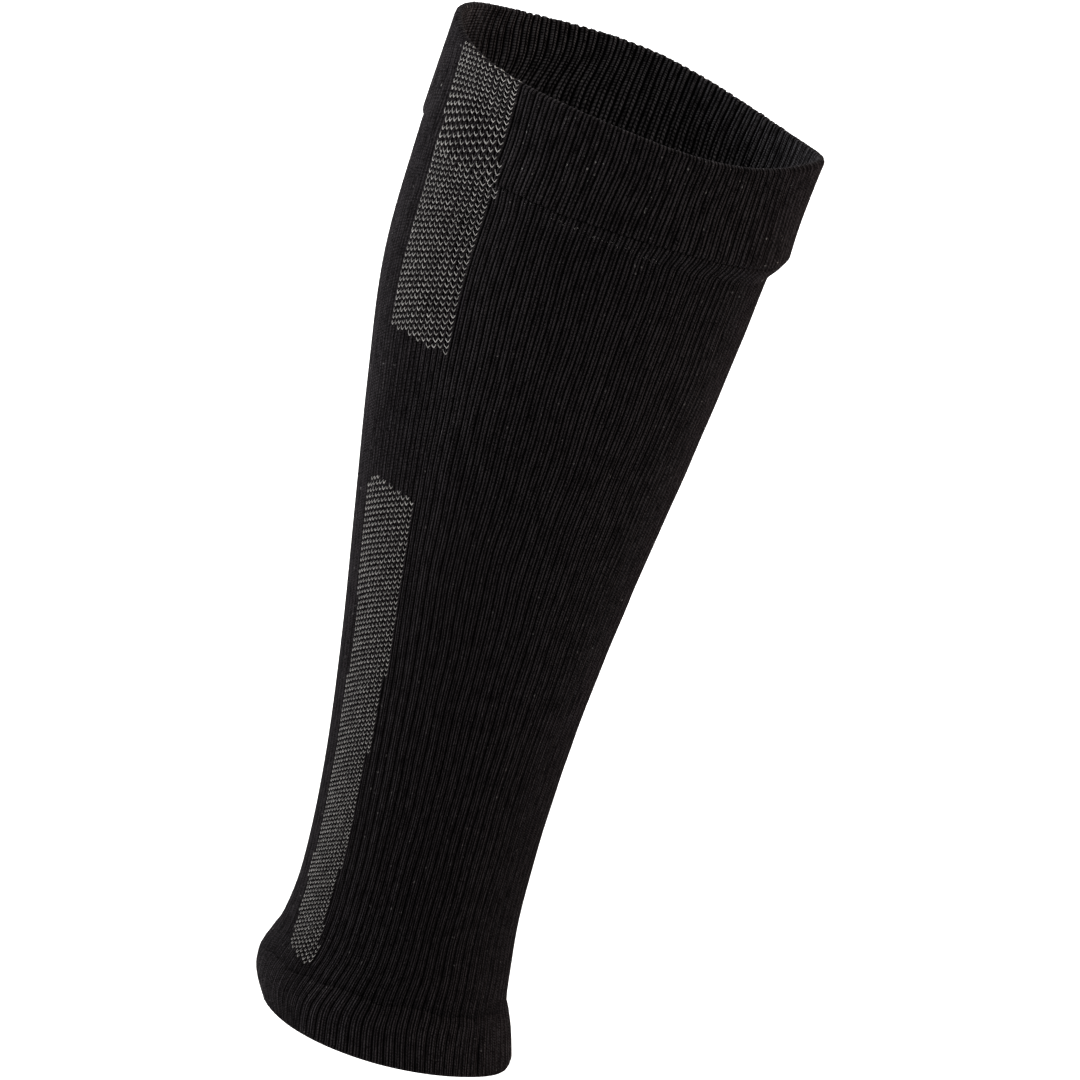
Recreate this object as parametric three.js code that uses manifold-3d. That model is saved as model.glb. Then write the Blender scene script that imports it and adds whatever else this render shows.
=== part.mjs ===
// A calf compression sleeve: one ribbed, hollow knitted tube for the lower leg.
//
// The tube follows the leg from the ankle to the knee. At the calf end the knit is turned over into
// a double cuff that stands proud of the body, and at the ankle end a plain band flares a little.
// A stripe of light yarn is knitted into the face of the cuff and of the body, down the shin side of
// the leg. The stripe is broken by a bare patch below the calf.
//
// Millimetres, +Z up the leg, +X toward the calf muscle, -X toward the shin, and -Y the outer side
// with the stripe. The origin is on the leg's axis, in the plane of the ankle rim.

import * as THREE from 'three';
import { mergeVertices } from 'three/addons/utils/BufferGeometryUtils.js';
import Module from 'manifold-3d';

const wasm = await Module();
wasm.setup();

// The leg
const length = 344; // ankle rim to calf rim
const calfWidth = 124; // shin to calf muscle, at the widest course of the body
const calfDepth = 111; // inner side to outer side of the leg, on the same course

// The knit
const wall = 2.2; // ribbed knit, relaxed
const ribs = 72; // raised ribs around the leg
const ribRise = 0.5; // crest of a rib above its groove
const seam = 0.3; // gap that separate pieces keep

// The double cuff at the calf end
const cuffHeight = 41; // rim to hem
const rimStep = 1; // the second layer over the body's face, at the rim
const hemStep = 2.7; // and at the hem, on the outer side of the leg
const hemPuff = 1.7; // how much more the hem stands off over the calf muscle
const hemRound = 3.4; // height in which the hem rounds back to the body

// The band at the ankle end
const bandHeight = 19;
const bandStep = 0.6; // over the body's face
const bandEdge = 1.4; // height in which the band's upper edge slopes back to the body

// The stripe of light yarn
const yarn = 1; // thickness of the light face of the knit
const upperStripe = 57; // from the hem down to the bare patch
const hemClear = 3; // between the hem and the stripe under it
const barePatch = 51; // between the two lengths of the stripe in the body
const stripeFoot = 6; // height of the stripe's lower end above the ankle band
const across = 6; // faces over the width of the stripe
const faceHeight = 34; // height of these faces, about
const cutPast = 4; // how far the cutters reach out of the face

// Courses of the knit, from the ankle rim up. up is the height on the leg's axis as a share of
// the length. shin and calf are the half widths to either side of the axis, as shares of the calf
// width. depth is the half depth as a share of the calf depth. lean is the rise of the course for
// each millimetre toward the calf, and bow is how far its outer and inner side stand above its
// ends, as a share of the calf depth.
const courses = [
  { up: 0.000, shin: 0.335, calf: 0.369, depth: 0.370, lean: 0.000, bow: 0.000 },
  { up: 0.029, shin: 0.375, calf: 0.344, depth: 0.377, lean: 0.005, bow: 0.025 },
  { up: 0.055, shin: 0.374, calf: 0.319, depth: 0.364, lean: 0.000, bow: 0.026 },
  { up: 0.084, shin: 0.345, calf: 0.308, depth: 0.342, lean: 0.000, bow: 0.030 },
  { up: 0.140, shin: 0.328, calf: 0.292, depth: 0.325, lean: 0.000, bow: 0.010 },
  { up: 0.247, shin: 0.342, calf: 0.291, depth: 0.329, lean: -0.010, bow: 0.000 },
  { up: 0.378, shin: 0.386, calf: 0.312, depth: 0.356, lean: -0.020, bow: 0.000 },
  { up: 0.509, shin: 0.444, calf: 0.352, depth: 0.402, lean: -0.035, bow: 0.000 },
  { up: 0.640, shin: 0.502, calf: 0.402, depth: 0.452, lean: -0.043, bow: 0.000 },
  { up: 0.762, shin: 0.545, calf: 0.444, depth: 0.491, lean: -0.050, bow: 0.027 },
  { up: 0.881, shin: 0.542, calf: 0.480, depth: 0.508, lean: -0.050, bow: 0.054 },
  { up: 1.000, shin: 0.520, calf: 0.518, depth: 0.516, lean: -0.126, bow: -0.018 },
];

// Edges of the stripe. shin and calf are the directions of its two edges, in degrees around the leg
// from +X, where 180 is the shin and 270 the outer side.
const stripeEdges = [
  { up: 0.000, shin: 211.0, calf: 231.0 },
  { up: 0.160, shin: 208.5, calf: 231.0 },
  { up: 0.300, shin: 207.5, calf: 234.5 },
  { up: 0.450, shin: 207.0, calf: 236.5 },
  { up: 0.570, shin: 205.5, calf: 235.0 },
  { up: 0.720, shin: 209.0, calf: 239.5 },
  { up: 0.870, shin: 209.0, calf: 241.0 },
  { up: 0.930, shin: 207.5, calf: 240.0 },
  { up: 1.000, shin: 205.0, calf: 235.0 },
];

const hem = length - cuffHeight;
const upperEnd = hem - upperStripe;
const lowerStart = upperEnd - barePatch;
const lowerEnd = bandHeight + stripeFoot;

// A column of a table at a height: a smooth curve through its rows, whose slope at each row is that
// of the line between the rows on either side.
function read(table, column, height) {
  const up = THREE.MathUtils.clamp(height / length, 0, 1);
  const last = table.length - 1;
  const i = Math.min(table.findLastIndex((row) => row.up <= up), last - 1);
  const slope = (k) => {
    const a = table[Math.max(k - 1, 0)];
    const b = table[Math.min(k + 1, last)];
    return (b[column] - a[column]) / (b.up - a.up);
  };
  const span = table[i + 1].up - table[i].up;
  const t = (up - table[i].up) / span;
  const rise = table[i + 1][column] - table[i][column];
  const start = slope(i) * span;
  const end = slope(i + 1) * span;
  return table[i][column] + t * (start + t * (3 * rise - 2 * start - end + t * (start + end - 2 * rise)));
}

// A point at an angle around the leg, at the height of its course on the axis, and out from the
// face of the body, which negative values put inside the wall.
function onLeg(angle, height, out) {
  const shin = calfWidth * read(courses, 'shin', height);
  const calf = calfWidth * read(courses, 'calf', height);
  const depth = calfDepth * read(courses, 'depth', height);
  const x = (calf - shin) / 2 + ((calf + shin) / 2 + out) * Math.cos(angle);
  const y = (depth + out) * Math.sin(angle);
  const lift = read(courses, 'lean', height) * x;
  const bow = calfDepth * read(courses, 'bow', height) * Math.sin(angle) ** 2;
  return new THREE.Vector3(x, y, height + lift + bow);
}

// How far the cuff's second layer stands out of the body's face, from the hem up to the rim.
function cuffStep(angle, height) {
  const atHem = hemStep + hemPuff * Math.cos(angle);
  return THREE.MathUtils.lerp(atHem, rimStep, (height - hem) / cuffHeight);
}

// The same geometry with each of its points put through a function, and with its shared vertices
// merged, so that it is one closed skin.
function bend(geometry, place) {
  geometry.deleteAttribute('normal');
  geometry.deleteAttribute('uv');
  const points = geometry.attributes.position;
  const point = new THREE.Vector3();
  for (let i = 0; i < points.count; i += 1) {
    point.fromBufferAttribute(points, i);
    const moved = place(point);
    points.setXYZ(i, moved.x, moved.y, moved.z);
  }
  return mergeVertices(geometry, 1e-3);
}

// A closed band of ribbed knit around the leg. The profile is a list of [layer, height] that runs
// up the outer face and down the inner one. A layer above 0 counts in steps of the second layer,
// and one below 0 is a depth in the wall. Ribs stand on the outer face, and where they are asked
// for also on the inner one.
function knitBand(profile, step, ribbedInside) {
  const core = 50; // radius at which the profile is turned, before it is bent onto the leg
  const loop = [...profile, profile[0]];
  const outline = loop.map(([layer, height]) => new THREE.Vector2(core + layer, height));
  const turned = new THREE.LatheGeometry(outline, 2 * ribs);
  return bend(turned, (p) => {
    const angle = Math.atan2(p.x, p.z);
    const layer = Math.hypot(p.x, p.z) - core;
    const rib = (ribRise / 2) * Math.cos(ribs * angle);
    const inside = ribbedInside && layer < 1e-3 - wall;
    let out = layer > 0 ? layer * step(angle, p.y) : layer;
    if (layer > -1e-3) out += rib;
    if (inside) out -= rib;
    return onLeg(angle, p.y, out);
  });
}

// A patch of the wall between the edges of the stripe and between two heights, from one depth
// under the face to another, grown on all its sides by a margin.
function patch(low, high, face, inner, outer, margin) {
  const rows = Math.ceil((high - low) / faceHeight);
  return bend(new THREE.BoxGeometry(1, 1, 1, across, rows, 1), (p) => {
    const height = THREE.MathUtils.lerp(low - margin, high + margin, p.y + 0.5);
    const turn = THREE.MathUtils.radToDeg(margin / (calfWidth * read(courses, 'shin', height)));
    const shinEdge = read(stripeEdges, 'shin', height) - turn;
    const calfEdge = read(stripeEdges, 'calf', height) + turn;
    const angle = THREE.MathUtils.degToRad(THREE.MathUtils.lerp(shinEdge, calfEdge, p.x + 0.5));
    return onLeg(angle, height, face(angle, height) + (p.z < 0 ? inner : outer));
  });
}

function toSolid(geometry) {
  return new wasm.Manifold(new wasm.Mesh({
    numProp: 3,
    vertProperties: Float32Array.from(geometry.attributes.position.array),
    triVerts: Uint32Array.from(geometry.index.array),
  }));
}

function toGeometry(solid) {
  const mesh = solid.getMesh();
  const geometry = new THREE.BufferGeometry();
  geometry.setAttribute('position', new THREE.BufferAttribute(mesh.vertProperties, 3));
  geometry.setIndex(new THREE.BufferAttribute(mesh.triVerts, 1));
  return geometry;
}

// The piece of knit with a pocket in its face for each length of the stripe.
function withPockets(geometry, face, lengths) {
  const depth = -(yarn + seam);
  const cut = lengths.map(([low, high]) => toSolid(patch(low, high, face, depth, cutPast, seam)));
  return toGeometry(cut.reduce((piece, cutter) => piece.subtract(cutter), toSolid(geometry)));
}

const bodyFace = () => 0;

// The body, from the ankle band to the hem: a row at each course between its two ends
function calfTube() {
  const low = bandHeight + seam;
  const high = hem - seam;
  const apart = 5; // least height between two rows
  const between = courses.map((row) => row.up * length)
    .filter((height) => height > low + apart && height < high - apart);
  const heights = [low, ...between, high];
  const outerFace = heights.map((height) => [0, height]);
  const innerFace = heights.toReversed().map((height) => [-wall, height]);
  return knitBand([...outerFace, ...innerFace], bodyFace, false);
}

// The rim of a piece, half round over its whole thickness, from its outer face to its inner one.
// It ends at a height, and the way is 1 for a rim on top and -1 for one underneath.
function roundRim(step, end, way) {
  const round = (wall + step) / 2;
  return [0, 45, 90, 135, 180].map((degrees) => {
    const turn = THREE.MathUtils.degToRad(degrees);
    const out = step - round + round * Math.cos(turn);
    return [out > 0 ? out / step : out, end - way * round * (1 - Math.sin(turn))];
  });
}

// The double cuff: the hem rounds out of the body, and the rim is the fold of the knit
function topCuff() {
  const hemCurve = [0, 45, 90].map((degrees) => {
    const turn = THREE.MathUtils.degToRad(degrees);
    return [Math.sin(turn), hem + hemRound * (1 - Math.cos(turn))];
  });
  return knitBand([...hemCurve, ...roundRim(rimStep, length, 1), [-wall, hem]], cuffStep, true);
}

// The ankle band, with its rim at the origin's height
function ankleCuff() {
  const rim = roundRim(bandStep, 0, -1).toReversed();
  const top = [[1, bandHeight - bandEdge], [0, bandHeight], [-wall, bandHeight]];
  return knitBand([...rim, ...top], () => bandStep, false);
}

const knitBlack = { color: 0x161519, roughness: 0.95, metalness: 0 };
const cuffBlack = { color: 0x131216, roughness: 0.95, metalness: 0 };
const lightYarn = { color: 0x8f8f90, roughness: 0.85, metalness: 0 };

function piece(name, geometry, finish) {
  const flat = geometry.toNonIndexed();
  flat.computeVertexNormals();
  const mesh = new THREE.Mesh(flat, new THREE.MeshStandardMaterial(finish));
  mesh.name = name;
  return mesh;
}

const upperLength = [upperEnd, hem - hemClear];
const lowerLength = [lowerEnd, lowerStart];
const cuffLength = [hem + hemRound, length - (wall + rimStep) / 2];

const sleeve = new THREE.Group();
sleeve.add(
  piece('calf_tube', withPockets(calfTube(), bodyFace, [upperLength, lowerLength]), knitBlack),
  piece('top_cuff', withPockets(topCuff(), cuffStep, [cuffLength]), cuffBlack),
  piece('ankle_cuff', ankleCuff(), cuffBlack),
  piece('cuff_stripe', patch(...cuffLength, cuffStep, -yarn, 0, 0), lightYarn),
  piece('upper_stripe', patch(...upperLength, bodyFace, -yarn, 0, 0), lightYarn),
  piece('lower_stripe', patch(...lowerLength, bodyFace, -yarn, 0, 0), lightYarn),
);

export default sleeve;
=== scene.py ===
# %% [markdown]
# # A knitted calf compression sleeve
# The sleeve is one ribbed tube of black elastic yarn that a circular knitting machine makes in one go.
# At the calf end the knit is turned over into a double cuff, at the ankle end it ends in a plain band,
# and a stripe of light yarn is knitted into its face along the shin side of the leg.
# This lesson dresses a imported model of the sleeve: the model gives the true shape and size, and here
# each piece gets its ribs, its stitches and its yarn.

# %% The frame
import math

import bpy
import numpy as np
from mathutils import Matrix, Vector


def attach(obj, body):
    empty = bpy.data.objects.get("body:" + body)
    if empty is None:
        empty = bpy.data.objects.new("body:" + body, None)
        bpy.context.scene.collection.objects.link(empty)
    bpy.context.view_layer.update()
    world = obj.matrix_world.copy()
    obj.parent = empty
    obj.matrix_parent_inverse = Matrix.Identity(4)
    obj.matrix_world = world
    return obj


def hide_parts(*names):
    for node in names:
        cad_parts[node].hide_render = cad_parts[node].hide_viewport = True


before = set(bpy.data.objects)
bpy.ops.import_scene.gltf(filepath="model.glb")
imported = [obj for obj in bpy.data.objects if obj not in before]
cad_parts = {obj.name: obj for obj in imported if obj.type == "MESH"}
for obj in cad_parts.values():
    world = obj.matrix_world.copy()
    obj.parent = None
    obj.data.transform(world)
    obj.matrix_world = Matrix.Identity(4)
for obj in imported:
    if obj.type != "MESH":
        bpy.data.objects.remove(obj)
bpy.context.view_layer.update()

MM = 0.001
print("solids:", sorted(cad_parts))

# %% [markdown]
# ## The leg
# A sleeve has no shape of its own: it takes the leg's. The leg is described by its courses, which are
# the rows of the knit. Each course is nearly an ellipse with a different half width toward the shin
# and toward the calf, a lean toward the calf and a bow. Between the courses of the table a smooth curve
# fills in. A lofted surface in the viewport would do too, but a formula lets every rib and stitch below
# ask for its own place on the leg. The sizes are in millimetres, and the origin is on the leg's axis,
# in the plane of the ankle rim.

# %% Sizes of the sleeve
LENGTH = 344.0  # ankle rim to calf rim
CALF_WIDTH = 124.0  # shin to calf, on the widest course of the body
CALF_DEPTH = 111.0  # inner side to outer side of the leg, on the same course
WALL = 2.2  # the ribbed knit, relaxed
BAND_HEIGHT = 19.0  # the band at the ankle
BAND_STEP = 0.6  # how far it stands proud
BAND_EDGE = 1.4  # height in which its upper edge slopes back
CUFF_HEIGHT = 41.0  # the double cuff, rim to hem
RIM_STEP = 1.0  # its second layer over the body's face, at the rim
HEM_STEP = 2.7  # and at the hem, on the outer side of the leg
HEM_PUFF = 1.7  # how much more it stands off over the calf muscle
HEM_ROUND = 2.6  # height in which the hem rolls in
GATHER = 8.0  # height in which the body under the hem widens to meet it
OVERHANG = 0.50  # how far the hem's roll stands out past the gathered body
OVERHANG_ENDS = 0.45  # and how much more over the shin and over the calf muscle
UPPER_STRIPE = 57.0  # from the hem down to the bare patch
BARE_PATCH = 51.0  # between the two lengths of the stripe
STRIPE_FOOT = 6.0  # from the ankle band up to the stripe
HEM = LENGTH - CUFF_HEIGHT
UPPER_END = HEM - UPPER_STRIPE
LOWER_START = UPPER_END - BARE_PATCH
LOWER_END = BAND_HEIGHT + STRIPE_FOOT
print(f"cuff {CUFF_HEIGHT:.0f} mm, body {HEM - BAND_HEIGHT:.0f} mm, band {BAND_HEIGHT:.0f} mm")

# %% The courses of the leg


def table(columns, rows):
    """A table as a dict of columns: the names are in one string, and each row holds a value for each."""
    return dict(zip(columns.split(), np.array(rows, float).T))


COURSES = table("up shin calf depth lean bow", [
    (0.000, 0.335, 0.369, 0.370, 0.000, 0.000),
    (0.029, 0.375, 0.344, 0.377, 0.005, 0.025),
    (0.055, 0.374, 0.319, 0.364, 0.000, 0.026),
    (0.084, 0.345, 0.308, 0.342, 0.000, 0.030),
    (0.140, 0.328, 0.292, 0.325, 0.000, 0.010),
    (0.247, 0.342, 0.291, 0.329, -0.010, 0.000),
    (0.378, 0.386, 0.312, 0.356, -0.020, 0.000),
    (0.509, 0.444, 0.352, 0.402, -0.035, 0.000),
    (0.640, 0.502, 0.402, 0.452, -0.043, 0.000),
    (0.762, 0.545, 0.444, 0.491, -0.050, 0.027),
    (0.881, 0.542, 0.480, 0.508, -0.050, 0.054),
    (1.000, 0.520, 0.518, 0.516, -0.126, -0.018),
])
print(f"{len(COURSES['up'])} courses in the table")

# %% A point on the leg


def read(rows, column, height):
    """A column of a table at any heights: a cubic through each two rows, whose slope at a row is that of the
    line between the rows on either side."""
    ups = rows["up"]
    values = rows[column]
    last = len(ups) - 1
    before = np.maximum(np.arange(last + 1) - 1, 0)
    after = np.minimum(np.arange(last + 1) + 1, last)
    slope = (values[after] - values[before]) / (ups[after] - ups[before])
    up = np.clip(np.asarray(height) / LENGTH, 0, 1)
    i = np.clip(np.searchsorted(ups, up, side="right") - 1, 0, last - 1)
    span = ups[i + 1] - ups[i]
    t = (up - ups[i]) / span
    rise = values[i + 1] - values[i]
    start = slope[i] * span
    end = slope[i + 1] * span
    return values[i] + t * (start + t * (3 * rise - 2 * start - end + t * (start + end - 2 * rise)))


def on_leg(angle, height, out):
    """Points at an angle around the leg, at the height of a course on the axis, and out from the body's face.
    Across the leg each course is an ellipse, grown by out. It rises by lean for each millimetre toward the
    calf, and by bow times the sine squared of the angle."""
    shin = CALF_WIDTH * read(COURSES, "shin", height)
    calf = CALF_WIDTH * read(COURSES, "calf", height)
    depth = CALF_DEPTH * read(COURSES, "depth", height)
    x = (calf - shin) / 2 + ((calf + shin) / 2 + out) * np.cos(angle)
    y = (depth + out) * np.sin(angle)
    lift = read(COURSES, "lean", height) * x
    bow = CALF_DEPTH * read(COURSES, "bow", height) * np.sin(angle) ** 2
    return np.stack(np.broadcast_arrays(x, y, height + lift + bow), axis=-1)


rim_points = on_leg(np.linspace(0, 2 * np.pi, 361), LENGTH, 0)
print(f"calf rim {np.ptp(rim_points[:, 0]):.0f} mm wide, {np.ptp(rim_points[:, 1]):.0f} mm deep")

# %% [markdown]
# ## Slack and folds
# Where nothing pulls the knit tight it takes shapes of its own. The cuff stands off the body, the body
# swells under the cuff's seam, the calf rim waves, the hem rides up over the shin, and the ankle rim hangs
# down behind. Simulated cloth would find folds too, but not these ones. So each is a bell curve or a wave,
# with a place and a size that were compared with the photograph.

# %% Steps and gathers


def bell(value, middle, width):
    """A bell curve: 1 in the middle, and a little over a third one width away from it."""
    return np.exp(-((value - middle) / width) ** 2)


def bell_round(angle, middle, sharp):
    """A bell curve around the leg, which closes on itself: the exponential of sharp times cosine less 1."""
    return np.exp(sharp * (np.cos(angle - middle) - 1))


def cuff_step(angle, height):
    """How far the cuff's second layer stands out: a straight run from the hem's step up to the rim's."""
    at_hem = HEM_STEP + HEM_PUFF * np.cos(angle)
    share = (height - HEM) / CUFF_HEIGHT
    return at_hem + (RIM_STEP - at_hem) * share


def gathered(angle, height):
    """How far the body's face swells under the hem, which the cuff's seam pulls out: a smooth step from 0 up
    to the cuff's step less the overhang."""
    over = OVERHANG + OVERHANG_ENDS * np.cos(angle) ** 4
    full = np.maximum(HEM_STEP + HEM_PUFF * np.cos(angle) - over, 0)
    t = np.clip((height - HEM + GATHER) / GATHER, 0, 1)
    return full * t * t * (3 - 2 * t)


hem_height = on_leg(1.5 * np.pi, HEM, 0)[2]
print(f"outer side: hem at {hem_height:.1f} mm, stands {cuff_step(1.5 * np.pi, HEM):.1f} mm off")

# %% Waves, lifts and drops
RIM_WAVES = [(2, 0.00, -1.08), (3, 0.17, -0.55), (4, 1.01, -0.47)]  # times around, cosine and sine, mm
SEAM_WAVES = [(9, 0.5, 0.0), (14, 0.35, 1.0), (23, 0.2, 2.0)]  # times around, size in mm, start
SEAM_REACH = 9.0  # how far up and down the leg the waves of the ankle band's seam reach
HEM_LIFT = 10.5  # how far the hem is pulled up on the shin side
HEM_SHIN = 3.32  # the middle of that place, in radians around the leg
HEM_PEAK = 0.55  # the share of the lift that is a narrow peak
HEM_PEAK_WIDTH = 0.28  # the width of the peak, in radians
HEM_BROAD = 0.45  # the share that is a broad cosine
HEM_BROAD_TIMES = 1.25  # how many times it would go around the leg
HEM_REACH = 34.0  # how far up and down the leg the lift reaches
FOOT_DROP = 2.6  # how far the ankle rim hangs down behind
FOOT_BEHIND = -0.1  # the middle of that place, in radians
FOOT_SHARP = 7.5  # how closely the drop keeps to its middle
FOOT_REACH = 34.0  # how far up the leg it reaches


def lifted(angle, height):
    """How far a course is pulled up from its plain height, which every piece follows alike. The rim's waves
    are a few cosines and sines that fade with the square of the way down to the hem. The hem is pulled up
    on the shin side, by a bell curve and a cosine around the leg and a bell curve along it. The seam over
    the ankle band wanders, and behind the ankle rim hangs down."""
    share = np.clip((height - HEM) / CUFF_HEIGHT, 0, 1) ** 2
    rim = share * sum(c * np.cos(n * angle) + s * np.sin(n * angle) for n, c, s in RIM_WAVES)
    broad = np.cos(np.clip(HEM_BROAD_TIMES * (angle - HEM_SHIN), -np.pi / 2, np.pi / 2))
    by_shin = HEM_PEAK * bell(angle, HEM_SHIN, HEM_PEAK_WIDTH) + HEM_BROAD * broad
    hem = HEM_LIFT * by_shin * bell(height, HEM, HEM_REACH) * (1 - share)
    waves = sum(size * np.sin(n * angle + start) for n, size, start in SEAM_WAVES)
    seam = waves * bell(height, BAND_HEIGHT, SEAM_REACH)
    behind = bell_round(angle, FOOT_BEHIND, FOOT_SHARP)
    foot = FOOT_DROP * behind * np.clip(1 - height / FOOT_REACH, 0, 1) ** 2
    return rim + hem + seam - foot


print(f"hem lifted by {lifted(HEM_SHIN, HEM):.1f} mm over the shin, {lifted(0, HEM):.1f} mm over the calf")

# %% [markdown]
# ## Wales and courses
# A wale is one needle's column of stitches, and it shows as one rib. The machine has 144 needles, so
# a wale takes 2.5 degrees of the leg. The knit is stretched over the calf and relaxed at the ankle, so the
# courses lie closer together lower down. Counting wales and courses gives the knit its own coordinates,
# and with them a pattern follows the cloth wherever the leg takes it.

# %% Courses counted along the leg
WALES = 144
PITCH = table("up course", [  # mm from one course to the next
    (0.000, 0.82),
    (0.100, 0.87),
    (0.150, 0.79),
    (0.250, 0.82),
    (0.500, 0.98),
    (0.560, 1.06),
    (0.620, 1.08),
    (0.740, 1.00),
    (0.800, 0.945),
    (0.870, 0.965),
    (0.890, 1.38),
    (0.910, 1.64),
    (0.930, 1.63),
    (0.950, 1.28),
    (0.970, 1.04),
    (1.000, 0.95),
])
PAST_RIMS = 10  # how far past both rims the courses are counted on
fine_heights = np.linspace(-PAST_RIMS, LENGTH + PAST_RIMS, 3000)
fine_middles = (fine_heights[1:] + fine_heights[:-1]) / 2
fine_steps = np.diff(fine_heights) / read(PITCH, "course", fine_middles)
fine_courses = np.concatenate([[0], np.cumsum(fine_steps)])


def course_of(height):
    """The number of the course at a height: the running sum of height over the pitch of the courses."""
    return np.interp(height, fine_heights, fine_courses)


def height_of(course):
    """The height of a course, which undoes course_of."""
    return np.interp(course, fine_courses, fine_heights)


print(f"courses from rim to rim: {course_of(LENGTH) - course_of(0):.0f}")

# %% Wales placed around the leg
SLANTS = table("up turn drift sweep curl skew", [  # pushes in wales, and the skew in mm a wale
    (0.000, -1.8, 0.8, -4.6, 0.0, -0.04),
    (0.030, -1.0, 0.6, -2.8, 0.0, -0.05),
    (0.056, 0.0, 0.3, -1.2, 0.0, -0.05),
    (0.140, 0.0, 0.0, 0.0, 0.0, -0.05),
    (0.250, 0.6, 0.0, 0.0, 0.0, 0.03),
    (0.420, 1.2, 0.0, 0.0, 0.0, -0.02),
    (0.540, 0.7, 0.0, 0.0, 0.0, -0.06),
    (0.740, 1.9, 0.0, 0.0, 0.0, -0.15),
    (0.860, 1.7, 0.0, 0.0, 0.1, -0.20),
    (0.930, 1.7, 0.0, 0.0, 0.5, -0.34),
    (1.000, 1.7, -1.4, 0.0, 0.7, -0.36),
])
STRIPE_WALE = 88.8  # the wale in the middle of the stripe
STRAIGHT_WALES = 13  # how far to either side of it the wales hardly turn
ANKLE_TURN = 60  # the height in mm under which they turn too
TURN_END = 156  # a ring that is shifted on passes wale 144, where the turn starts to fade toward this one
TURN_FADE = 12  # over so many wales
DRIFT_WIDTH = 12  # how many wales the drift reaches to either side of the stripe's middle
SWEEP_WALE = 99  # the middle of the sweep
SWEEP_WIDTH = 10
CURL_WALE = 56  # the middle of the curl
CURL_WIDTH = 15
CURL_LONG = 6.0  # mm up the leg for each radian of its S
CURL_BROAD = 7  # wales around the leg for each radian
WANDER = [  # size in wales, length, times around the leg, start
    (0.16, 19.0, 2, 0.0),
    (0.09, 9.0, -5, 2.0),
    (0.05, 5.0, 8, 4.0),
]
WANDER_LEFT = 0.4  # the share of the wander that the stripe keeps
CLOSEST = 4.363  # the direction in which the wales stand closest, in radians
CROWDING = (0.08, 0.02)  # sizes of the sines that crowd them
CROWDED_BACK = 0.054  # what brings the middle of the stripe back to its place


def crowded(angle):
    """Wales stand up to an eighth closer on the outer side of the leg than behind it: the angle less a sine
    of the way from the closest wale, and a smaller one of twice the way."""
    away = angle - CLOSEST
    once, twice = CROWDING
    return angle - once * np.sin(away) - twice * np.sin(2 * away) - CROWDED_BACK


def angle_of(wale, height):
    """Wales to radians around the leg. Each column of the table of slants is a push in wales: turn is for all
    wales away from the stripe, drift for those by the stripe, sweep for those in front of it, and curl is
    the size of an S on the far side. A slow wander is the sum of three sines, whose lengths are in mm for
    each radian."""
    turn = wale * (2 * np.pi / WALES)
    wander = sum(size * np.sin(height / long + times * turn + start) for size, long, times, start in WANDER)
    away = 1 - bell(wale, STRIPE_WALE, STRAIGHT_WALES)
    low = np.clip(1 - height / ANKLE_TURN, 0, 1)
    fade = np.clip((TURN_END - wale) / TURN_FADE, low, 1)
    push = read(SLANTS, "turn", height) * np.maximum(away, low) * fade
    push = push + bell(wale, STRIPE_WALE, DRIFT_WIDTH) * read(SLANTS, "drift", height)
    push = push + bell(wale, SWEEP_WALE, SWEEP_WIDTH) * read(SLANTS, "sweep", height)
    curl = read(SLANTS, "curl", height) * np.sin(height / CURL_LONG + wale / CURL_BROAD)
    push = push + bell(wale, CURL_WALE, CURL_WIDTH) * curl
    kept = WANDER_LEFT + (1 - WANDER_LEFT) * away
    return crowded((wale + kept * wander + push) * (2 * np.pi / WALES))


def height_in_row(wale, course):
    """The height of a course at a wale by the stripe, where each wale stands a little higher or lower than
    the last: the table's skew times the wales from the stripe's middle."""
    height = height_of(course)
    return height + read(SLANTS, "skew", height) * (wale - STRIPE_WALE)


middle_angle = np.degrees(angle_of(STRIPE_WALE, LENGTH / 2))
print(f"middle of the stripe, halfway up: {middle_angle:.0f} degrees around the leg")

# %% [markdown]
# ## Ribs
# On the real sleeve each wale bulges and its edges sink into the cloth, so the face is ridged, and no
# two ribs are quite alike. Bump alone would leave the outline and the rim smooth. So the ribs are real
# geometry: a raised cosine across each wale, with chosen depths for each groove, and below the calf
# every second groove is deeper, as in a two-by-one rib.

# %% The relief of the ribs
GROOVE = 0.70  # depth of a groove under its ridges, mm
GROOVE_POWER = 1.3  # of its raised cosine, which makes it narrower than a ridge
GROOVE_SPREAD = 0.18  # how much the grooves' depths differ, as a share of the depth
GROOVE_LIMITS = (0.6, 1.5)  # the least and greatest depth, as shares
DIP = 0.22  # dip along the middle of a rib, between the two legs of its stitches
DIP_NARROW = 3  # how many times narrower than its rib the dip is
LIFT_SPREAD = 0.06  # how much the crests' heights differ, mm
LIFT_BEAT = 0.8  # how strongly a crest's lift comes and goes along it
LIFT_LONG = 4.3  # mm up the leg for each radian of that
BAND_LIFT = 2  # how many times more the crests differ on the ankle band
BAND_LIFT_AT = 4  # the middle of that place, and how far up and down the leg it reaches, mm
BAND_LIFT_REACH = 14
SEED = 7
rng = np.random.default_rng(SEED)
groove_depth = GROOVE * np.clip(1 + GROOVE_SPREAD * rng.standard_normal(WALES), *GROOVE_LIMITS)
ridge_lift = LIFT_SPREAD * rng.standard_normal(WALES)
ridge_phase = rng.uniform(0, 2 * np.pi, WALES)
PAIRING = table("up share", [  # how much deeper every second groove is
    (0.00, 0.50),
    (0.10, 0.55),
    (0.28, 0.55),
    (0.45, 0.38),
    (0.60, 0.22),
    (0.80, 0.10),
    (1.00, 0.05),
])


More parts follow.
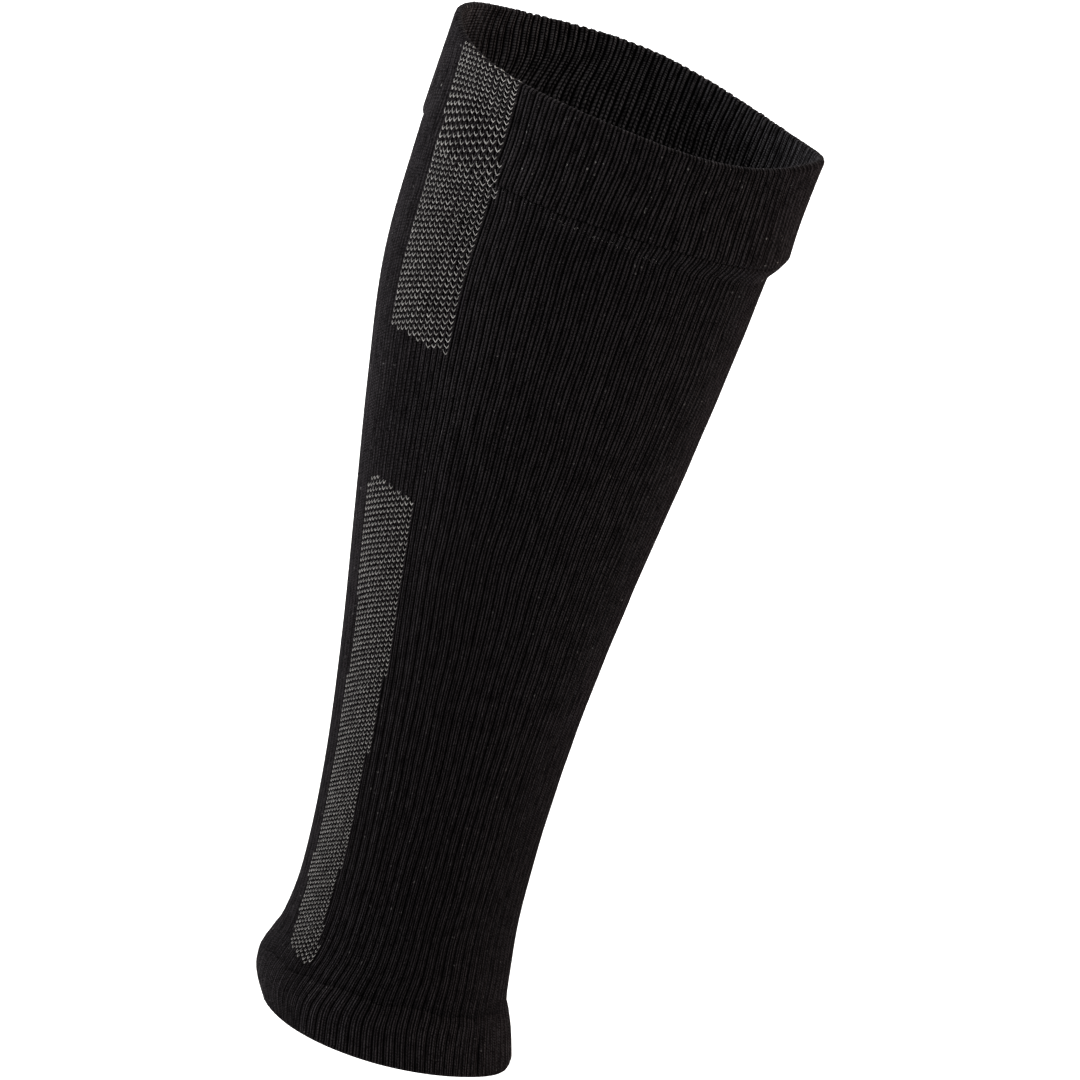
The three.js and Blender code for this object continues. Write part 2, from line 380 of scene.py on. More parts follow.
def relief(wale, height, wales):
    """Height of the face over its ridges' crests, in mm, where so many wales go around the leg. Across a wale
    it is minus the groove's depth times a power of a raised cosine, which is 0 on the crest and 1 in the
    groove, less a small dip in the middle. Each crest has its own small lift, which comes and goes along it
    and is greater on the ankle band, by a bell curve."""
    across = np.abs(2 * (wale % 1) - 1)
    valley = (0.5 - 0.5 * np.cos(np.pi * across)) ** GROOVE_POWER
    crest = 0.5 + 0.5 * np.cos(np.pi * across)
    groove = np.round(wale).astype(int) % wales
    ridge = np.floor(wale).astype(int) % wales
    share = read(PAIRING, "share", height)
    depth = groove_depth[groove] * (1 + share * np.where(groove % 2 == 0, 1, -1))
    beat = 1 + LIFT_BEAT * np.sin(height / LIFT_LONG + ridge_phase[ridge])
    lift = ridge_lift[ridge] * beat * (1 + BAND_LIFT * bell(height, BAND_LIFT_AT, BAND_LIFT_REACH))
    return lift * crest - depth * valley - DIP * np.clip(1 - DIP_NARROW * across, 0, 1)


print(f"grooves from {groove_depth.min():.2f} to {groove_depth.max():.2f} mm deep")

# %% [markdown]
# ## A ring of knit
# Each knitted piece is a closed wall around the leg. Its profile runs up the outer face, over the edge
# and down the inner face. Carried round the leg on a grid of wales, it closes in both directions, so
# the mesh has no open edge. A Solidify modifier could thicken a single sheet, but then the rolled hem and
# the rims would be square.

# %% Meshes from arrays
COLUMNS_PER_WALE = 6
PAST_TOP = -0.01  # a row that faces inward by more than this belongs to the inner face
RIM_SCALLOP = 0.9  # how much more the ribs run over a rim on the inner side of the leg, where it is slack


def mesh_from(name, points, faces, uv=None):
    """A mesh object from an array of points in millimetres, lists of point numbers for the faces, and one
    pair of knit coordinates for each face corner."""
    mesh = bpy.data.meshes.new(name)
    mesh.from_pydata((points * MM).tolist(), [], faces)
    if uv is not None:
        layer = mesh.uv_layers.new(name="knit")
        layer.uv.foreach_set("vector", np.ascontiguousarray(uv, np.float32).ravel())
    mesh.polygons.foreach_set("use_smooth", np.ones(len(mesh.polygons), bool))
    mesh.validate()
    mesh.update()
    piece = bpy.data.objects.new(name, mesh)
    bpy.context.scene.collection.objects.link(piece)
    return piece


def stretch(layers, heights, normals, ribs):
    """A stretch of a profile: for each row its layer, height, the way that it faces (out, up) and its share
    of the ribs' relief."""
    rows = np.broadcast_arrays(layers, heights, normals[0], normals[1], ribs)
    return np.stack(rows, axis=-1).astype(float)


def ring_of_knit(name, profile, out_of, shift=0.0, inner_wales=WALES):
    """A closed ring of knit. Row by column, a point is on_leg at its wale's angle, its row's height and as
    far out as out_of says of its row's layer, moved along the row's normal by the relief. The course number
    grows with the way travelled along the profile. The whole ring may stand a part of a wale on, and its
    inner face may have fewer and broader wales than its outer one."""
    layer, height, face_out, face_up, ribs = (profile[:, i:i + 1] for i in range(5))
    columns = WALES * COLUMNS_PER_WALE
    wale = (np.arange(columns) / COLUMNS_PER_WALE)[None, :]
    angle = angle_of(wale + shift, height)
    out = out_of(angle, height, layer)
    wales = np.where(face_out < PAST_TOP, inner_wales, WALES)
    scallop = RIM_SCALLOP * np.maximum(np.sin(angle), 0) * np.maximum(face_up, 0)
    rise = relief(wale * wales / WALES, height + 0 * wale, wales) * (ribs + scallop)
    points = on_leg(angle, height + lifted(angle, height) + face_up * rise, out + face_out * rise)
    rows = len(profile)
    i, j = np.meshgrid(np.arange(rows), np.arange(columns), indexing="ij")
    up = (i + 1) % rows
    right = (j + 1) % columns
    faces = np.stack([i * columns + j, i * columns + right, up * columns + right, up * columns + j], axis=-1)
    nominal = np.where(layer > 0, 2 * layer, layer)[:, 0]
    way = np.hypot(np.diff(nominal, append=nominal[0]), np.diff(height[:, 0], append=height[0, 0]))
    steps = way / read(PITCH, "course", height[:, 0])
    course = course_of(height[0, 0]) + np.concatenate([[0], np.cumsum(steps)])
    share = wales[i, 0] / WALES
    u = j / COLUMNS_PER_WALE * share
    low = course[i]
    high = course[i + 1]
    edge = share / COLUMNS_PER_WALE
    corners = ((u, low), (u + edge, low), (u + edge, high), (u, high))
    uv = np.stack([np.stack(pair, -1) for pair in corners], 2)
    piece = mesh_from(name, points.reshape(-1, 3), faces.reshape(-1, 4).tolist(), uv)
    print(f"{name}: {rows} rows by {columns} columns, {2 * len(piece.data.polygons)} triangles")
    return piece


OUTWARD = (1, 0)
INWARD = (-1, 0)


def arc(step, end, way, rows, ribs):
    """A rim, half round over its whole thickness, from the outer face to the inner one, without its ends. It
    ends at a height, and the way is 1 on top and -1 underneath. The ribs' share runs from its outer to its
    inner value."""
    turn = np.linspace(0, np.pi, rows + 2)[1:-1]
    radius = (WALL + step) / 2
    out = step - radius + radius * np.cos(turn)
    layers = np.where(out > 0, out / step, out)
    heights = end - way * radius * (1 - np.sin(turn))
    shares = np.interp(turn, np.linspace(0, np.pi, len(ribs)), ribs)
    return stretch(layers, heights, (np.cos(turn), way * np.sin(turn)), shares)


print(f"{WALES * COLUMNS_PER_WALE} columns around the leg")

# %% [markdown]
# ## The body
# The body is the long tube between the ankle band and the hem. Outside it has ribs at full depth, and
# inside, where only the wearer's skin meets it, weaker ones. Under the hem it is gathered: the cuff's seam
# pulls it out, most over the calf. Rows stand every three or four millimetres, and closer there.

# %% The body of the sleeve
JOIN = 0.03  # the gap between two pieces
body_low = BAND_HEIGHT + JOIN
body_high = HEM - JOIN
gather_low = HEM - GATHER - 2
plain_heights = np.linspace(body_low, gather_low, 74)
gather_heights = np.linspace(gather_low, body_high, 11)
inner_heights = np.linspace(body_high, body_low, 27)
INNER_RIBS = 0.6  # the share of the relief that the inner face has


def body_out(angle, height, layer):
    """The body's face is the zero of out, and the gathers swell over it."""
    return np.where(layer < 0, layer, gathered(angle, height))


calf_knit = ring_of_knit("calf_knit", np.concatenate([
    stretch(0, plain_heights[:-1], OUTWARD, 1),
    stretch(0, gather_heights, OUTWARD, 1),
    stretch(-WALL, inner_heights, INWARD, INNER_RIBS),
]), body_out)

# %% [markdown]
# ## The double cuff
# The cuff is the end of the tube turned outward and sewn down, so its rim is a fold of the knit, and its
# hem is a soft roll that stands off the body and throws a shadow on it. Its wales come down half a wale off
# those of the body, which is what makes the hem show in front. The rim isn't flat: the leg opening pulls it
# into shallow waves.

# %% The cuff
RIM_POINT = 1.5  # how far the opening is drawn out over the calf, mm
RIM_POINT_SHARP = 22  # how closely that keeps to its middle
CUFF_SHIFT = 0.5  # how far the cuff's wales stand on from the body's, in wales
CUFF_INNER_WALES = 120  # the knit's back inside the cuff shows fewer and broader ribs
RIM_RADIUS = (WALL + RIM_STEP) / 2  # the rim is half round over both layers
SPRING = LENGTH - RIM_RADIUS  # the height at which it starts to bend over
RIM_RIBS = (0.8, 0.8, 0.8, 0.75, 0.35, 0.1, 0.3, 0.7, 1.1)  # shares of the relief, outside to inside
CUFF_INNER_RIBS = 1.15  # and of the cuff's inner face


def cuff_out(angle, height, layer):
    """Layer 1 is the second layer's face, layer 0 the gathered body that the hem sits on, and layers below 0
    are depths in the wall. Above the roll of the hem layer 0 is the body's plain face."""
    on_body = gathered(angle, height) * (height < HEM + HEM_ROUND)
    to_rim = np.clip((height - HEM) / CUFF_HEIGHT, 0, 1) ** 3
    point = RIM_POINT * bell_round(angle, 0, RIM_POINT_SHARP) * to_rim
    return point + np.where(layer < 0, layer, on_body + (cuff_step(angle, height) - on_body) * layer)


hem_turn = np.linspace(0, np.pi / 2, 7)
cuff_heights = np.linspace(HEM + HEM_ROUND + 0.7, SPRING, 36)
top_knit = ring_of_knit("top_knit", np.concatenate([
    stretch(np.sin(hem_turn), HEM + HEM_ROUND * (1 - np.cos(hem_turn)), OUTWARD, 1),
    stretch(1, cuff_heights, OUTWARD, 1),
    arc(RIM_STEP, LENGTH, 1, 9, RIM_RIBS),
    stretch(-WALL, np.linspace(SPRING, HEM, 30), INWARD, CUFF_INNER_RIBS),
]), cuff_out, CUFF_SHIFT, CUFF_INNER_WALES)

# %% [markdown]
# ## The ankle band
# The band is a few courses of tighter knit. It flares a little where nothing pulls it in, and its ribs lean
# toward the shin. Its upper edge slopes back to the body over a few rows.

# %% The band
BAND_SPRING = (WALL + BAND_STEP) / 2  # the height at which its round rim starts
BAND_RIM_RIBS = (0.8, 0.45, 0.1, 0.0, 0.0, 0.1, 0.3, 0.4, 0.5)  # shares, outside to inside


def band_out(angle, height, layer):
    """Layer 1 is the band's face, layer 0 the body's, and layers below 0 are depths in the wall."""
    return np.where(layer < 0, layer, BAND_STEP * layer)


ankle_knit = ring_of_knit("ankle_knit", np.concatenate([
    arc(BAND_STEP, 0, -1, 7, BAND_RIM_RIBS)[::-1],
    stretch(1, np.linspace(BAND_SPRING, BAND_HEIGHT - 2 * BAND_EDGE, 14), OUTWARD, 1),
    stretch([0.75, 0.3, 0], BAND_HEIGHT - np.array([1.2, 0.5, 0]) * BAND_EDGE, (0.9, 0.4), 1),
    stretch(-WALL, np.linspace(BAND_HEIGHT, BAND_SPRING, 12), INWARD, INNER_RIBS),
]), band_out)

# %% [markdown]
# ## The stripe
# In the stripe the machine knits every second stitch of each wale with light yarn, and sets the next wale
# off by one course, so the stitches stand like the fields of a chessboard. A stripe painted on the cloth
# would have smooth edges. Here each stitch is in it or out of it, so its edges go in steps, as real ones do.

# %% The stripe's edges
EDGES = table("up shin calf", [  # degrees around the leg, 180 is the shin and 270 the outer side
    (0.000, 213.5, 233.5),
    (0.075, 211.5, 232.5),
    (0.116, 206.5, 229.8),
    (0.150, 205.0, 230.0),
    (0.276, 206.2, 232.3),
    (0.363, 208.2, 235.0),
    (0.450, 208.2, 236.3),
    (0.541, 207.5, 236.2),
    (0.727, 209.8, 239.2),
    (0.843, 209.2, 239.8),
    (0.872, 209.4, 240.3),
    (0.895, 210.4, 239.5),
    (0.925, 207.8, 238.0),
    (0.960, 206.5, 236.8),
    (1.000, 206.0, 236.5),
])
FOOT_RISE = 0.5  # how far above the stripe's lower end its foot starts on the shin side, mm
FOOT_POINT = 2.5  # how far the foot slopes down toward the calf, mm
FOOT_FROM = 213  # the direction in which it starts to, in degrees
FOOT_OVER = 18  # over how many degrees it does
MARGIN = 3  # how far past a length of the stripe its courses are tried, because rows are skewed


def in_stripe(wale, height):
    """Which stitches lie between the two edges of the stripe, and above its foot, which slopes."""
    degrees = np.degrees(angle_of(wale, height))
    foot = LOWER_END + FOOT_RISE - FOOT_POINT * np.clip((degrees - FOOT_FROM) / FOOT_OVER, 0, 1)
    past_shin = degrees > read(EDGES, "shin", height)
    before_calf = degrees < read(EDGES, "calf", height)
    return past_shin & before_calf & (height > foot)


def stitch_places(low, high, shift=0.0):
    """Wale and course of each light stitch between two heights: every second course, and every other wale set
    off by one. The wales may stand a part of a wale on."""
    courses = np.arange(2 * (course_of(low - MARGIN) // 2), course_of(high + MARGIN), 2)
    wales = np.arange(WALES)
    wale, course = (grid.ravel() for grid in np.meshgrid(wales, courses))
    course = course + wale % 2
    middle = wale + 0.5 + shift
    height = height_in_row(middle, course)
    kept = in_stripe(middle, height) & (height > low) & (height <= high)
    return middle[kept], course[kept]


OVER_RIM = 0.8  # how far the stripe goes on over the calf rim, mm
cuff_places = stitch_places(HEM, LENGTH + OVER_RIM, CUFF_SHIFT)
upper_places = stitch_places(UPPER_END, HEM)
lower_places = stitch_places(BAND_HEIGHT, LOWER_START)
print("stitches in the stripe:", [len(wale) for wale, _ in (cuff_places, upper_places, lower_places)])

# %% [markdown]
# ## The light stitches
# Each stitch is a small V: two legs of yarn that come out of the cloth at the top and meet below. No two
# are quite alike, and they lean toward the shin. A curve with a bevel would make one stitch, but there
# are thousands, so all stitches of a length are worked out at once, as arrays of stitches by steps along
# the yarn by corners around it.

# %% The face under the stitches


def on_face(angle, way):
    """Where a point of the face lies: how far out and how high, and the way it faces, out and up. The way
    goes up the body, past the roll of the hem and up the cuff, and then bends over the rim, as far round as
    it goes past the rim's spring line."""
    turn = np.clip((way - SPRING) / RIM_RADIUS, 0, np.pi / 2)
    height = np.minimum(way, SPRING) + RIM_RADIUS * np.sin(turn)
    roll = np.clip((way - HEM) / HEM_ROUND, 0, 1)
    layer = np.sqrt(1 - (1 - roll) ** 2)
    out = cuff_out(angle, np.minimum(way, SPRING), layer) - RIM_RADIUS * (1 - np.cos(turn))
    return out, height + lifted(angle, height), np.cos(turn), np.sin(turn)


def over_face(wale, way, rise):
    """Points at a wale and a way up the face, which stand out of it by a rise in mm."""
    angle = angle_of(wale, way)
    out, height, face_out, face_up = on_face(angle, way)
    return on_leg(angle, height + rise * face_up, out + rise * face_out)


print("stripe halfway up, mm:", np.round(over_face(STRIPE_WALE, LENGTH / 2, 0), 1))

# %% The yarn of a stitch
YARN_STEPS = 9  # places along the yarn
YARN_SIDES = 6  # corners around it
YARN = 0.088  # radius of the yarn, as a share of the root of wale times course
YARN_FLAT = 0.8  # its height over its width
LEG_SPREAD = 0.36  # from the middle of a stitch to the top of a leg, in wales
LEG_RISE = 0.98  # from the foot of a stitch to the top of a leg, in courses where they are 1 mm apart
LEG_LEAN = 0.25  # how far a stitch leans toward the shin at its top, in wales
LEG_TILT = 0.16  # how much higher one leg reaches than the other, as a share, and how much that differs
LEG_TILT_SPREAD = 0.14
FOOT_SHARE = 0.42  # how far a stitch's foot lies under its course, as a share of the rise
STAND_OUT = 0.16  # how far the foot stands out of the face, mm
SINK_IN = 0.50  # how far the tops of the legs lie below that
UNLIKE = 0.10  # how much stitches differ in width and in the yarn's thickness
SHIFTED = 0.04  # how much they stray across their wale, in wales


def unit(vectors):
    """Vectors with their lengths made 1."""
    return vectors / np.linalg.norm(vectors, axis=-1, keepdims=True)


def yarn_lines(wale, course, size):
    """Each stitch's yarn as a line, the normals of the cloth under it, and its radius. Along a stitch t runs
    from -1 to 1. Across it goes by t less a little of its cube, and by a lean, up the wale by t to the power
    1.1, and out of the cloth by a bulge that sinks with the cube of t. The yarn is thinner at its ends."""
    count = len(wale)
    t = np.linspace(-1, 1, YARN_STEPS)[None, :]
    loose = 1 + UNLIKE * rng.standard_normal((count, 1))
    tilt = LEG_TILT + LEG_TILT_SPREAD * rng.standard_normal((count, 1))
    rise = LEG_RISE * size / np.sqrt(read(PITCH, "course", height_of(course)))[:, None]
    shift = SHIFTED * rng.standard_normal((count, 1))
    across = LEG_SPREAD * size * loose * t * (1.25 - 0.25 * t * t) + shift - LEG_LEAN * size * np.abs(t)
    along = rise * loose * (np.abs(t) ** 1.1 * (1 + tilt * t) - FOOT_SHARE)
    bulge = STAND_OUT - SINK_IN * np.abs(t) ** 3
    u = wale[:, None] + across
    way = height_in_row(u, course[:, None] + along)
    centre = over_face(u, way, bulge)
    to_side = (over_face(u + 0.1, way, bulge) - over_face(u - 0.1, way, bulge)) / 0.2
    to_top = over_face(u, way + 0.4, bulge) - over_face(u, way - 0.4, bulge)
    pitch = np.sqrt(np.linalg.norm(to_side, axis=-1) * read(PITCH, "course", way))
    thick = 1 + UNLIKE * rng.standard_normal((count, 1))
    radius = YARN * size * thick * pitch * (1.15 - 0.50 * np.abs(t) ** 1.3)
    return centre, unit(np.cross(to_side, to_top)), radius


print(f"a stitch has {YARN_STEPS} rings of {YARN_SIDES} corners")

# %% Tubes along many lines


def tube_points(centre, normal, radius):
    """The corners of a closed tube along each line, and last its two end points. The section is an ellipse
    across the yarn, in the frame of the yarn's direction and the cloth's normal."""
    ahead = unit(np.gradient(centre, axis=1))
    beside = unit(np.cross(normal, ahead))
    above = np.cross(ahead, beside)
    turn = np.arange(YARN_SIDES) * (2 * np.pi / YARN_SIDES)
    sideways = beside[:, :, None] * np.cos(turn)[:, None]
    upward = YARN_FLAT * above[:, :, None] * np.sin(turn)[:, None]
    corners = centre[:, :, None] + radius[:, :, None, None] * (sideways + upward)
    ends = np.stack([centre[:, 0], centre[:, -1]], axis=1)
    return np.concatenate([corners.reshape(len(centre), -1, 3), ends], axis=1)


def tube_faces(count):
    """The faces of so many tubes, with their knit coordinates, around the yarn and along it. Quads join ring
    to ring, and triangles join the first and last ring to the end points."""
    steps = np.arange(YARN_STEPS - 1)
    around = np.arange(YARN_SIDES)
    step, side = (grid.ravel() for grid in np.meshgrid(steps, around, indexing="ij"))
    after = (side + 1) % YARN_SIDES
    rings = np.stack([step, step, step + 1, step + 1], 1)
    tube = rings * YARN_SIDES + np.stack([side, after, after, side], 1)
    onward = (around + 1) % YARN_SIDES
    last_ring = (YARN_STEPS - 1) * YARN_SIDES
    first_end = np.full(YARN_SIDES, YARN_STEPS * YARN_SIDES)
    caps = np.concatenate([
        np.stack([onward, around, first_end], 1),
        np.stack([last_ring + around, last_ring + onward, first_end + 1], 1),
    ])
    base = np.arange(count)[:, None, None] * (YARN_STEPS * YARN_SIDES + 2)
    quads = (tube[None] + base).reshape(-1, 4)
    triangles = (caps[None] + base).reshape(-1, 3)
    u = np.stack([side, side + 1, side + 1, side], 1) / YARN_SIDES
    v = rings / (YARN_STEPS - 1)
    quad_uv = np.tile(np.stack([u, v], -1)[None], (count, 1, 1, 1)).reshape(-1, 2)
    cap_uv = np.tile([0.5, 0.0], (len(triangles) * 3, 1))
    return quads.tolist() + triangles.tolist(), np.concatenate([quad_uv, cap_uv])


def stitches(name, wale, course, size=1.0):
    """A piece of light stitches, each a tube with a tone of its own between 0 and 1."""
    points = tube_points(*yarn_lines(wale, course, size))
    faces, uv = tube_faces(len(wale))
    piece = mesh_from(name, points.reshape(-1, 3), faces, uv)
    shade = piece.data.attributes.new("shade", "FLOAT", "POINT")
    tone = np.repeat(rng.uniform(0, 1, len(wale)), points.shape[1])
    shade.data.foreach_set("value", tone.astype(np.float32))
    print(f"{name}: {len(wale)} stitches, {sum(len(face) - 2 for face in faces)} triangles")
    return piece


print(f"{len(tube_faces(1)[0])} faces a stitch")

# %% The three lengths of the stripe
SPECKS = 42  # short ends of light yarn that peep out along the hem
SPECK_WALES = (95.5, 122)  # between these wales
SPECK_RISE = (0.3, 2.2)  # and so far above the hem, mm
SPECK_SIZE = (0.12, 0.24)  # as shares of a stitch
LOWER_SIZE = 0.95  # the stitches of the lower length are a little smaller
speck_wale = rng.uniform(*SPECK_WALES, SPECKS)
speck_course = course_of(HEM + rng.uniform(*SPECK_RISE, SPECKS))
speck_size = rng.uniform(*SPECK_SIZE, SPECKS)
cuff_wale = np.concatenate([cuff_places[0], speck_wale])
cuff_course = np.concatenate([cuff_places[1], speck_course])
cuff_size = np.concatenate([np.ones(len(cuff_places[0])), speck_size])[:, None]
cuff_stitches = stitches("cuff_stitches", cuff_wale, cuff_course, cuff_size)
upper_stitches = stitches("upper_stitches", *upper_places)
lower_stitches = stitches("lower_stitches", *lower_places, LOWER_SIZE)

# %% [markdown]
# ## Shader sums
# A finish here is a sum over the surface, so a small class stands for a socket and turns Python sums on it
# into Math nodes. Everything else, such as a noise or a bump, comes from its one method for nodes.

# %% A socket that can be reckoned with


class Wire:
    """An output socket in a material's node tree. Sums on it add Math nodes."""

    def __init__(self, tree, socket):
        self.tree = tree
        self.socket = socket

    def node(self, kind, settings=None, inputs=None, output=0):
        """A new node of a kind, with its settings made first and then its inputs' values or links. It returns
        one of its outputs."""
        made = self.tree.nodes.new(kind)
        for key, value in (settings or {}).items():
            setattr(made, key, value)
        for key, value in (inputs or {}).items():
            if isinstance(value, Wire):
                self.tree.links.new(value.socket, made.inputs[key])
            else:
                made.inputs[key].default_value = value
        return Wire(self.tree, made.outputs[output])

    def math(self, operation, *values):
        return self.node("ShaderNodeMath", {"operation": operation}, dict(enumerate(values)))

    def __add__(self, other):
        return self.math("ADD", self, other)

    def __radd__(self, other):
        return self.math("ADD", other, self)

    def __sub__(self, other):
        return self.math("SUBTRACT", self, other)

    def __rsub__(self, other):
        return self.math("SUBTRACT", other, self)

    def __mul__(self, other):
        return self.math("MULTIPLY", self, other)

    def __rmul__(self, other):
        return self.math("MULTIPLY", other, self)

    def __mod__(self, other):
        return self.math("FLOORED_MODULO", self, other)

    def __abs__(self):
        return self.math("ABSOLUTE", self)

    def cos(self):
        return self.math("COSINE", self)

    def floor(self):
        return self.math("FLOOR", self)

    def clamped(self, low, high):
        """How far this lies from low to high, held between 0 and 1."""
        return self.node("ShaderNodeMapRange", {"clamp": True}, {0: self, 1: low, 2: high, 3: 0.0, 4: 1.0})

    def mix(self, first, second):
        """The first colour where this is 0, the second where it is 1."""
        return self.node("ShaderNodeMix", {"data_type": "RGBA"}, {0: self, 6: first, 7: second}, output=2)


def new_finish(name, constants):
    """An empty material with one Principled shader, whose even values are set on its own sockets."""
    material = bpy.data.materials.new(name)
    material.use_nodes = True
    tree = material.node_tree
    tree.nodes.clear()
    shader = tree.nodes.new("ShaderNodeBsdfPrincipled")
    for key, value in constants.items():
        shader.inputs[key].default_value = value
    output = tree.nodes.new("ShaderNodeOutputMaterial")
    tree.links.new(shader.outputs[0], output.inputs["Surface"])
    return material, tree, shader


# %% [markdown]
# ## Black knit
# Up close the black is not one tone: light is painted onto the crests of the stitches, shade is painted into
# the grooves between the wales, single fibres stand up, and small glints are painted on the crests. The
# stitches are too fine for geometry, so their Vs are bump, worked out from the wale and course of each point.

# %% The black yarn
TAU = 2 * math.pi
LEG_PLACE = 0.45  # where a leg of a stitch stands, from the middle of its wale, 0, to its edge, 1
LEG_NARROW = 2.8  # one over the half width of the leg's ridge, in the same measure
LEG_SLANT = 0.8  # how many courses higher its stitches reach at the edge
STREAK_LONG = 0.14  # waves of a leg's streaks for each course
STREAK_APART = 7.37  # how far apart in the noise two legs are
FIBRE_SCALE = 1900.0  # fibres, patches and painted glints, for each metre
PATCH_SCALE = 45.0
GLINT_SCALE = 800.0
# painted shade: the colour in the grooves between the wales and between the stitches
PAINTED_GROOVE_SHADE = (0.0008, 0.0006, 0.0007, 1)
INNER_PAINTED_LIGHT = (0.070, 0.0660, 0.0700, 1)  # light painted onto the crests of the inner face
rim_course = float(course_of(LENGTH)) + 1.0  # past it the crests take the painted light of the inner face


def black_knit(name, crest, glint, uneven):
    """Knit of black yarn, with light painted onto the crests of its stitches and shade painted into its
    grooves.
    Across a wale, a is 0 in its middle and 1 at its edges. Along a leg the stitches are a cosine of the
    course less the slant times a, so that they rise to both sides, as a V does, and shade is painted between
    them. Each leg has streaks of its own, a noise that is stretched along the wale, as strong as uneven.
    Lower down every second groove is wider, which is a second and broader wave of twice the length, and it is
    painted darker as shade.
    Past the cuff's rim the crests are painted paler, as light on the inner face. Glint is the colour of small
    painted glints that a noise scatters over the crests."""
    material, tree, shader = new_finish(name, {
        "Roughness": 0.9,
        "Specular IOR Level": 0.01,
        "Sheen Weight": 0.006,
        "Sheen Roughness": 0.45,
        "Sheen Tint": (0.62, 0.60, 0.60, 1.0),
    })
    start = Wire(tree, None)
    knit = start.node("ShaderNodeUVMap", {"uv_map": "knit"})
    wale = start.node("ShaderNodeSeparateXYZ", None, {0: knit})
    course = Wire(tree, wale.socket.node.outputs[1])
    place = start.node("ShaderNodeTexCoord", output=3)
    up = start.node("ShaderNodeSeparateXYZ", None, {0: place}, output=2)
    a = abs(2 * (wale % 1.0) - 1.0)
    legs = 0.5 + 0.5 * (TAU * (course - LEG_SLANT * a)).cos()
    ridge = (1.0 - abs(a - LEG_PLACE) * LEG_NARROW).clamped(0.0, 0.7)
    # painted shade: every second groove, the deeper one, is darkened, and less so up the leg
    pair = abs((wale % 2.0) - 1.0).clamped(0.4, 0.95) * up.clamped(0.28, 0.11)
    leg = STREAK_APART * (2.0 * wale).floor()
    own = start.node("ShaderNodeCombineXYZ", None, {0: leg, 1: STREAK_LONG * course})
    streak = start.node("ShaderNodeTexNoise", None, {"Vector": own, "Scale": 1.0, "Detail": 1.0})
    fibre = start.node("ShaderNodeTexNoise", None, {"Vector": place, "Scale": FIBRE_SCALE, "Detail": 3.0})
    patchy = start.node("ShaderNodeTexNoise", None, {"Vector": place, "Scale": PATCH_SCALE, "Detail": 2.0})
    # painted light and shade: lighter on the crests and stitches, darker in the grooves, with random tone
    # from fibres, patches and streaks
    lit = ridge * (0.45 + 0.55 * legs) * (0.1 + 1.8 * fibre.clamped(0.3, 0.7)) * (0.8 + 0.4 * patchy)
    lit = lit * (1.0 - uneven + 2 * uneven * streak.clamped(0.3, 0.7)) * (1.0 - 0.55 * pair)
    # painted light: crests past the calf rim's course take the paler colour
    inside = course.clamped(rim_course, rim_course + 5.0)
    colour = lit.mix(PAINTED_GROOVE_SHADE, inside.mix(crest, INNER_PAINTED_LIGHT))
    # painted glints: small noise specks on the crests
    ends = start.node("ShaderNodeTexNoise", None, {"Vector": place, "Scale": GLINT_SCALE, "Detail": 0.0})
    colour = (ends.clamped(0.79, 0.87) * ridge).mix(colour, glint)
    tree.links.new(colour.socket, shader.inputs["Base Color"])
    height = 0.8 * legs * ridge + 0.4 * fibre
    bump = start.node("ShaderNodeBump", None, {"Strength": 1.0, "Distance": 0.0003, "Height": height})
    tree.links.new(bump.socket, shader.inputs["Normal"])
    print(f"{name}: {len(tree.nodes)} nodes")
    return material


# colours of the painted glints, dull on the body and band, bright on the cuff
DULL_GLINT = (0.08, 0.075, 0.075, 1)
BRIGHT_GLINT = (0.14, 0.135, 0.13, 1)
body_black = black_knit("body_black", (0.0285, 0.0254, 0.0272, 1), DULL_GLINT, 0.45)
cuff_black = black_knit("cuff_black", (0.0302, 0.0269, 0.0287, 1), BRIGHT_GLINT, 0.55)
band_black = black_knit("band_black", (0.0335, 0.0298, 0.0318, 1), DULL_GLINT, 0.4)

# %% [markdown]
# ## Light yarn
# The light yarn is a soft grey, twisted from a few plies. Its twist is a slanting wave around and along
# each tube, which paints shade between the plies and light on them, and each stitch has a tone of its own.

# %% The light yarn
YARN_SHADE = (0.050, 0.048, 0.045, 1)  # shade painted between its plies, and the darkest tone
YARN_LIGHT = (0.48, 0.462, 0.436, 1)  # light painted onto the plies, and the lightest tone
YARN_FIBRES = 2500.0  # for each metre


def light_yarn(name):
    """Grey yarn. The plies are a cosine of twice the way around less six times the way along. The colour goes
    from shade to light by a sum of the plies, which paints shade between them and light on them, the stitch's
    own tone and a noise for the fibres."""
    material, tree, shader = new_finish(name, {
        "Roughness": 0.85,
        "Specular IOR Level": 0.2,
        "Sheen Weight": 0.1,
        "Sheen Roughness": 0.5,
    })
    start = Wire(tree, None)
    knit = start.node("ShaderNodeUVMap", {"uv_map": "knit"})
    around = start.node("ShaderNodeSeparateXYZ", None, {0: knit})
    along = Wire(tree, around.socket.node.outputs[1])
    plies = 0.5 + 0.5 * (TAU * (2 * around - 6 * along)).cos()
    tone = start.node("ShaderNodeAttribute", {"attribute_name": "shade"}, output=2)
    place = start.node("ShaderNodeTexCoord", output=3)
    fibre = start.node("ShaderNodeTexNoise", None, {"Vector": place, "Scale": YARN_FIBRES, "Detail": 2.0})
    # painted shade between the plies and painted light on them, with each stitch's tone and fibre noise
    lit = 0.35 * plies + 0.35 * tone + 0.4 * fibre
    colour = lit.mix(YARN_SHADE, YARN_LIGHT)
    tree.links.new(colour.socket, shader.inputs["Base Color"])
    height = plies + 0.5 * fibre
    bump = start.node("ShaderNodeBump", None, {"Strength": 0.7, "Distance": 0.0001, "Height": height})
    tree.links.new(bump.socket, shader.inputs["Normal"])
    print(f"{name}: {len(tree.nodes)} nodes")
    return material


stripe_grey = light_yarn("stripe_grey")

